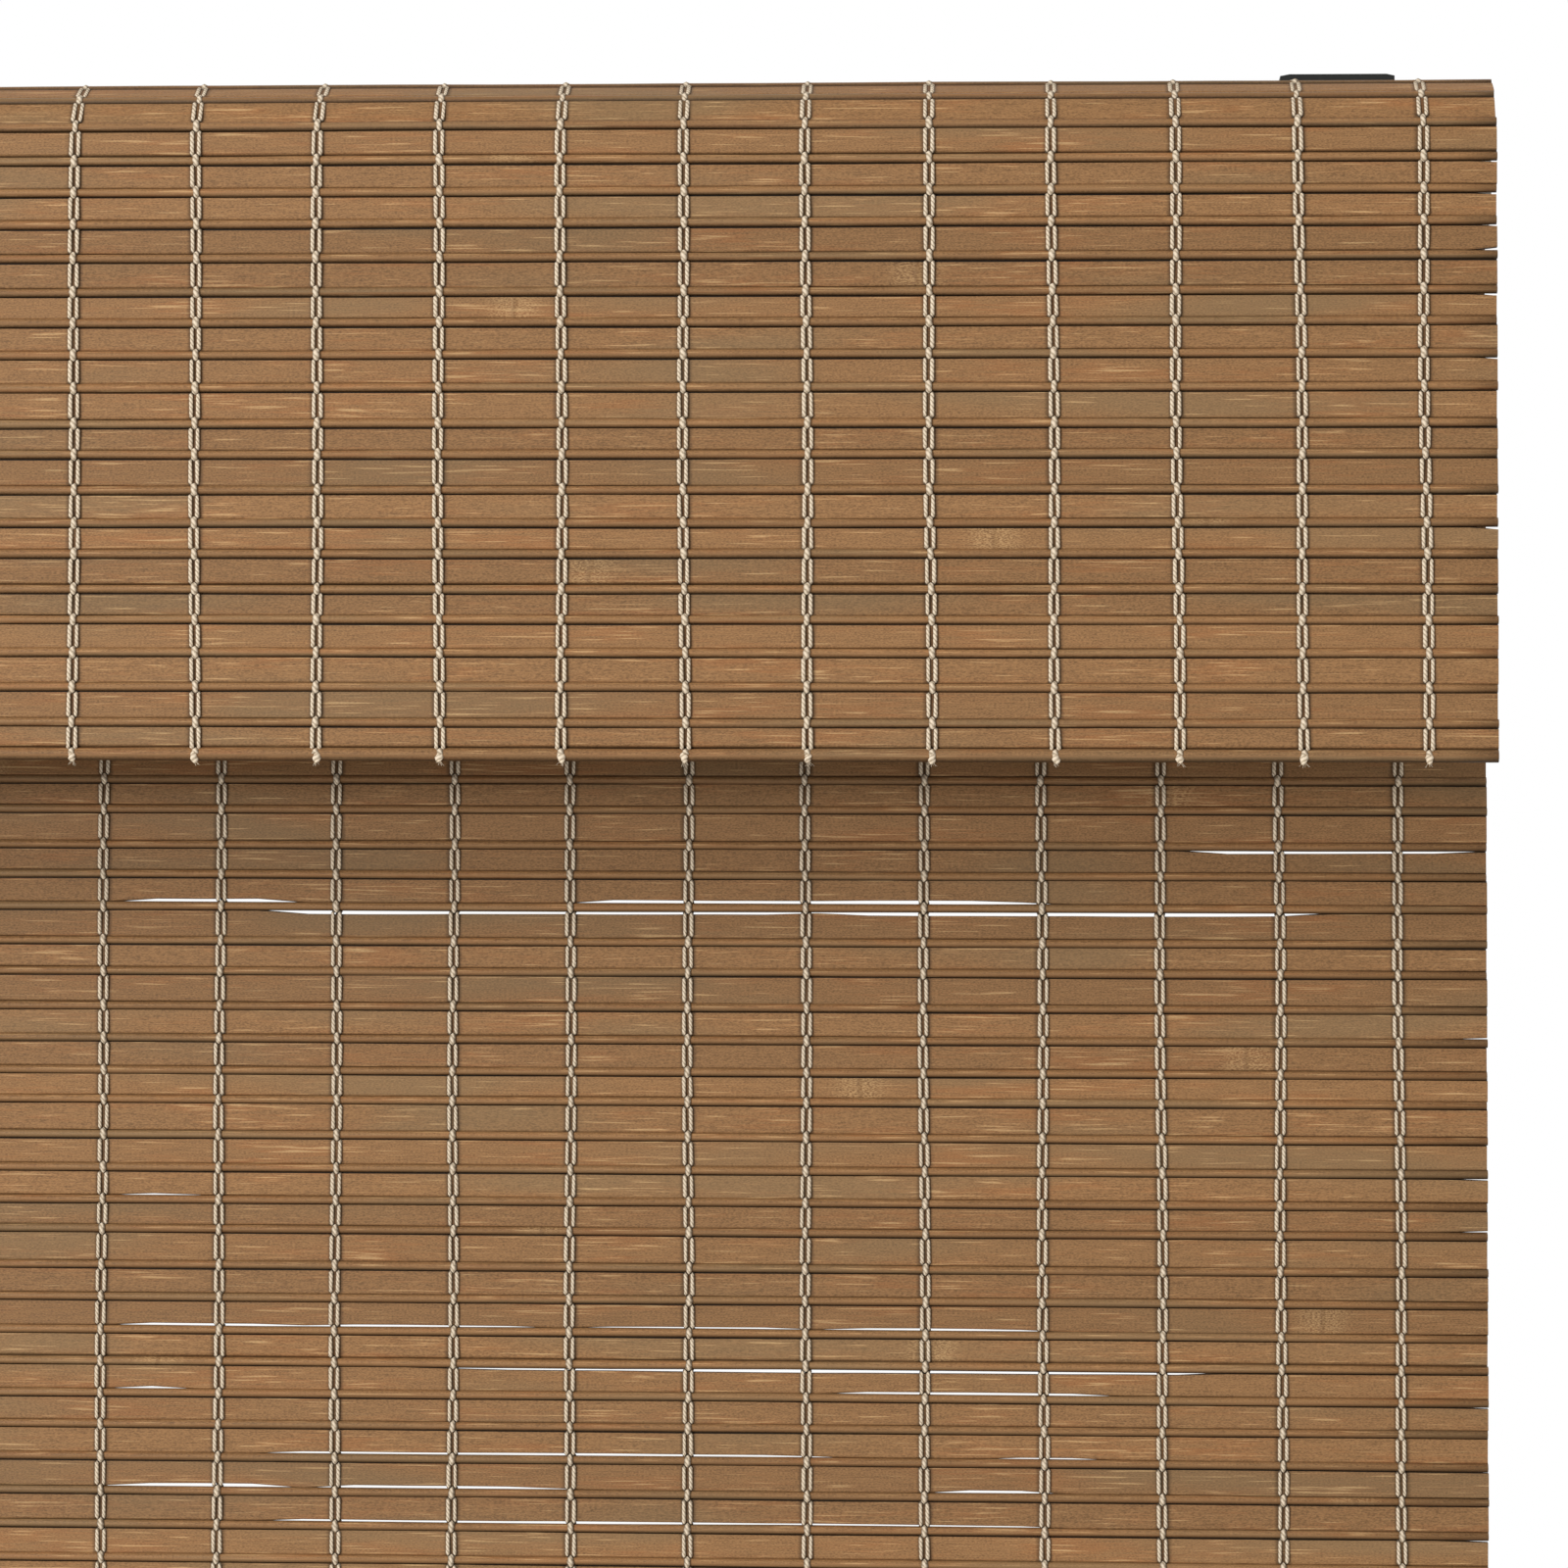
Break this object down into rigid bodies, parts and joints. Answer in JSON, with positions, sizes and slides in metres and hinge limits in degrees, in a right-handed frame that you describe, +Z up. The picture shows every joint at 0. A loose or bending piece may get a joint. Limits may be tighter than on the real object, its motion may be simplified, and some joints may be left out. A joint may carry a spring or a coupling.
{
  "type": "bamboo roman blind",
  "caption": "Cordless roman blind of split-bamboo slats and reeds bound with twine, with a short valance over its headrail, lift spools and a bottom rail.",
  "frame": {"origin": "middle of the four ceiling screw holes, on the top faces of the two mounting brackets", "axes": "+X along the headrail, to the right as seen from the room; -Y towards the room; +Z up"},
  "size_m": [0.6127, 0.0644, 1.219],
  "materials": {
    "bamboo": "satin stain, warm tan brown",
    "twine": "twisted cotton twine, matt",
    "stained_wood": "satin stain",
    "headrail_steel": "satin paint",
    "bracket_steel": "dark satin coat",
    "bright_steel": "bright zinc",
    "spring_steel": "tempered strip",
    "moulding": "moulded, matt",
    "ring_plastic": "clear moulded",
    "tape": "woven hook-and-loop"
  },
  "bodies": {
    "head": {"headrail": "headrail_steel", "end_caps": "moulding", "mounting_brackets": "bracket_steel", "valance_tape": "tape", "valance_mat": "bamboo", "valance_twine": "twine", "rear_batten": "stained_wood", "panel_mat": "bamboo", "panel_twine": "twine", "spool_cradles": "moulding", "cord_outlets": "moulding", "motor_housing": "moulding", "motor_cover": "moulding", "spring_band": "spring_steel"},
    "shaft": {"lift_shaft": "bright_steel", "cord_spools": "moulding", "output_drum": "moulding"},
    "store": {"storage_drum": "moulding"},
    "foot": {"bottom_rail": "stained_wood", "foot_tape": "tape"},
    "fold_1": {"fold_rings_1": "ring_plastic"},
    "fold_2": {"fold_rings_2": "ring_plastic"},
    "fold_3": {"fold_rings_3": "ring_plastic"},
    "fold_4": {"fold_rings_4": "ring_plastic"},
    "fold_5": {"fold_rings_5": "ring_plastic"}
  },
  "joints": [
    {"name": "lift", "type": "slide", "parent": "head", "child": "foot", "axis": [0, 0, 1], "range_m": [0, 0.968], "deforming": ["panel_mat", "panel_twine"]},
    {"name": "shaft_turn", "type": "hinge", "parent": "head", "child": "shaft", "pos_m": [0, -0.004, -0.021], "axis": [1, 0, 0], "range_deg": [0, 7400]},
    {"name": "store_turn", "type": "hinge", "parent": "head", "child": "store", "pos_m": [0, -0.0195, -0.021], "axis": [1, 0, 0], "range_deg": [-8817, 0]},
    {"name": "fold_1_rise", "type": "slide", "parent": "head", "child": "fold_1", "axis": [0, 0, 1], "range_m": [0, 0.8065]},
    {"name": "fold_2_rise", "type": "slide", "parent": "head", "child": "fold_2", "axis": [0, 0, 1], "range_m": [0, 0.6445]},
    {"name": "fold_3_rise", "type": "slide", "parent": "head", "child": "fold_3", "axis": [0, 0, 1], "range_m": [0, 0.4825]},
    {"name": "fold_4_rise", "type": "slide", "parent": "head", "child": "fold_4", "axis": [0, 0, 1], "range_m": [0, 0.3205]},
    {"name": "fold_5_rise", "type": "slide", "parent": "head", "child": "fold_5", "axis": [0, 0, 1], "range_m": [0, 0.1585]}
  ],
  "couplings": [
    {"joint": "shaft_turn", "follows": "lift", "rad_per_m": 133.33},
    {"joint": "store_turn", "follows": "lift", "rad_per_m": -158.87},
    {"joint": "fold_1_rise", "follows": "lift", "ratio": 0.83265},
    {"joint": "fold_2_rise", "follows": "lift", "ratio": 0.6653},
    {"joint": "fold_3_rise", "follows": "lift", "ratio": 0.49795},
    {"joint": "fold_4_rise", "follows": "lift", "ratio": 0.3306},
    {"joint": "fold_5_rise", "follows": "lift", "ratio": 0.16325}
  ]
}
